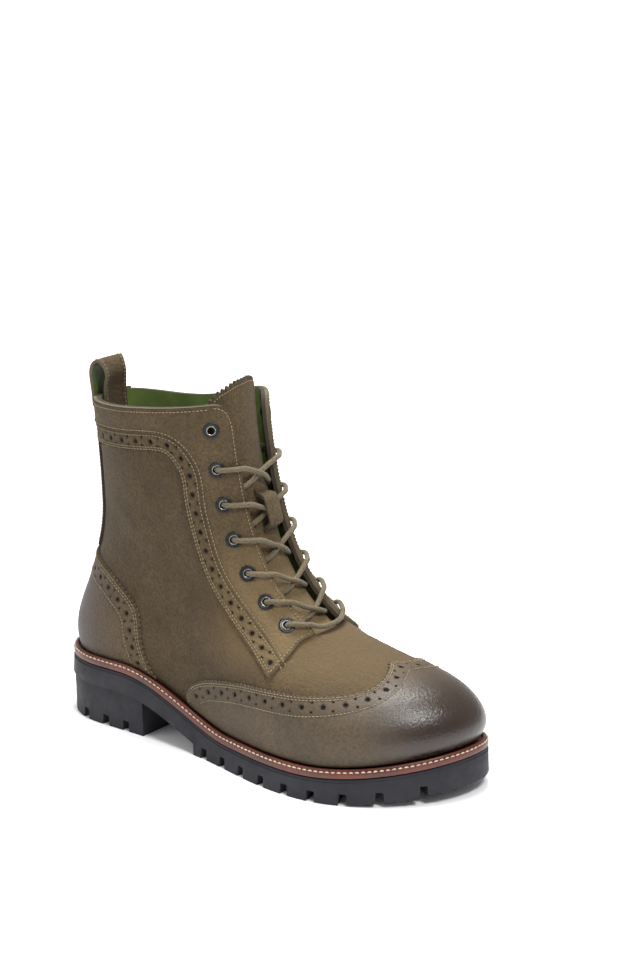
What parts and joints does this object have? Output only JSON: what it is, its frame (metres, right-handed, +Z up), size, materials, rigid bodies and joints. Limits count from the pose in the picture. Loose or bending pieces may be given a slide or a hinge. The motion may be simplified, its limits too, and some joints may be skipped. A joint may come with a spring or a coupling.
{
  "type": "brogue ankle boot",
  "caption": "Lace-up wingtip ankle boot with broguing, storm welt, lugged sole, pull loop and an inner side zip, made for the right foot.",
  "frame": {"origin": "on the ground under the middle of the heel, at the heel's flat central lug", "axes": "+X from heel to toe, +Y to the inner (medial) side, +Z up"},
  "size_m": [0.292, 0.112, 0.2298],
  "materials": {
    "outsole": "moulded, matt",
    "heel": "moulded, matt",
    "welt": "waxed",
    "insole": "board",
    "upper": "nubuck",
    "wingtip": "burnished",
    "counter": "burnished",
    "back_strip": "nubuck",
    "eyestay_lateral": "nubuck",
    "eyestay_medial": "nubuck",
    "collar_medial": "nubuck",
    "tongue": "nubuck",
    "lace_keeper": "nubuck",
    "pull_loop": "nubuck",
    "laces": "woven cord",
    "rivet": "aged",
    "zip_tape": "woven",
    "zip_teeth": "painted",
    "zip_slider": "painted",
    "zip_pull": "painted",
    "eyelet": "black enamel"
  },
  "bodies": {
    "boot": {"outsole": "outsole", "heel": "heel", "welt": "welt", "insole": "insole", "upper": "upper", "wingtip": "wingtip", "counter": "counter", "back_strip": "back_strip", "eyestay_lateral": "eyestay_lateral", "eyestay_medial": "eyestay_medial", "collar_medial": "collar_medial", "tongue": "tongue", "lace_keeper": "lace_keeper", "eyelet_lateral_1": "eyelet", "eyelet_lateral_2": "eyelet", "eyelet_lateral_3": "eyelet", "eyelet_lateral_4": "eyelet", "eyelet_lateral_5": "eyelet", "eyelet_lateral_6": "eyelet", "eyelet_lateral_7": "eyelet", "eyelet_medial_1": "eyelet", "eyelet_medial_2": "eyelet", "eyelet_medial_3": "eyelet", "eyelet_medial_4": "eyelet", "eyelet_medial_5": "eyelet", "eyelet_medial_6": "eyelet", "eyelet_medial_7": "eyelet", "laces": "laces", "pull_loop": "pull_loop", "rivet": "rivet", "zip_tape": "zip_tape", "zip_teeth": "zip_teeth", "zip_slider": "zip_slider"},
    "pull_tab": {"zip_pull": "zip_pull"}
  },
  "joints": [
    {"name": "pull_tab_hinge", "type": "hinge", "parent": "boot", "child": "pull_tab", "pos_m": [0.05868, 0.04177, 0.20076], "axis": [0.9848, -0.158, 0.0725], "range_deg": [0, 150]}
  ]
}
